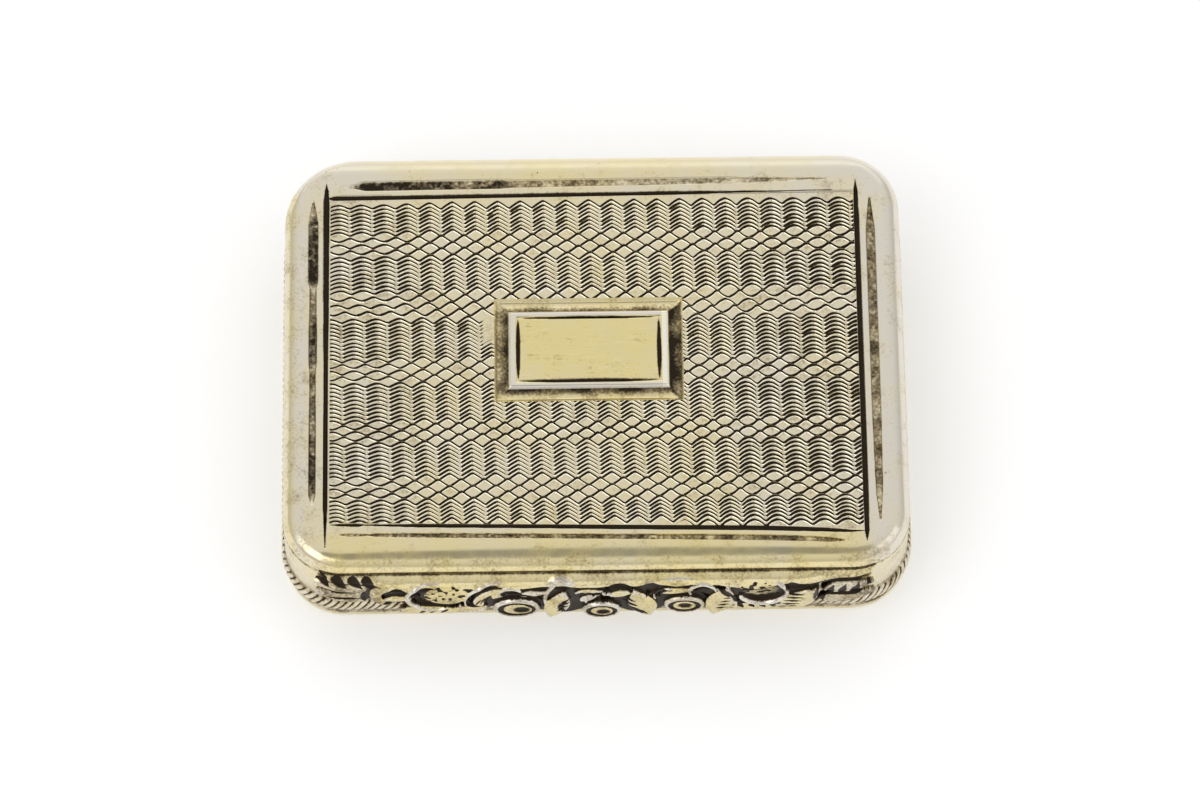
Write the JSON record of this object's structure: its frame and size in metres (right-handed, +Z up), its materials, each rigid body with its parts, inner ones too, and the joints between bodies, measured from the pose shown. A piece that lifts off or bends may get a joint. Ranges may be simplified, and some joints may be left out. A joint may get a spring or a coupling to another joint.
{
  "type": "vinaigrette box",
  "caption": "Small rounded rectangular hinged box with an engine-turned lid, vacant cartouche, foliate thumbpiece, and an inner hinged pierced grille over a sponge.",
  "frame": {"origin": "centre of the base's flat underside", "axes": "+X along the box's width to the right, +Y to the back where the hinges are, +Z up out of the lid"},
  "size_m": [0.0364, 0.0277, 0.0073],
  "materials": {
    "silver_gilt": "worn silver-gilt",
    "worn_silver": "silver showing through worn gilding",
    "inner_gilt": "bright gilt",
    "sponge": "porous natural sponge"
  },
  "bodies": {
    "box": {"base_plate": "silver_gilt", "side_wall": "worn_silver", "bezel": "inner_gilt", "grille_ledge": "inner_gilt", "body_knuckle_left": "worn_silver", "body_knuckle_middle": "worn_silver", "body_knuckle_right": "worn_silver", "lid_hinge_pin": "worn_silver", "grille_lug_left": "inner_gilt", "grille_lug_right": "inner_gilt", "grille_hinge_pin": "inner_gilt", "sponge": "sponge"},
    "lid": {"lid_cover": "silver_gilt", "cartouche_plaque": "silver_gilt", "thumbpiece": "silver_gilt", "lid_knuckle_left": "worn_silver", "lid_knuckle_right": "worn_silver"},
    "grille": {"grille": "inner_gilt", "grille_knuckle": "inner_gilt", "grille_tab": "inner_gilt"}
  },
  "joints": [
    {"name": "lid_hinge", "type": "hinge", "parent": "box", "child": "lid", "pos_m": [0, 0.01297, 0.00575], "axis": [-1, 0, 0], "range_deg": [0, 110]},
    {"name": "grille_hinge", "type": "hinge", "parent": "box", "child": "grille", "pos_m": [0, 0.01172, 0.00558], "axis": [-1, 0, 0], "range_deg": [0, 95]}
  ],
  "couplings": [
    {"joint": "grille_hinge", "follows": "lid_hinge", "ratio": 0.8636}
  ]
}
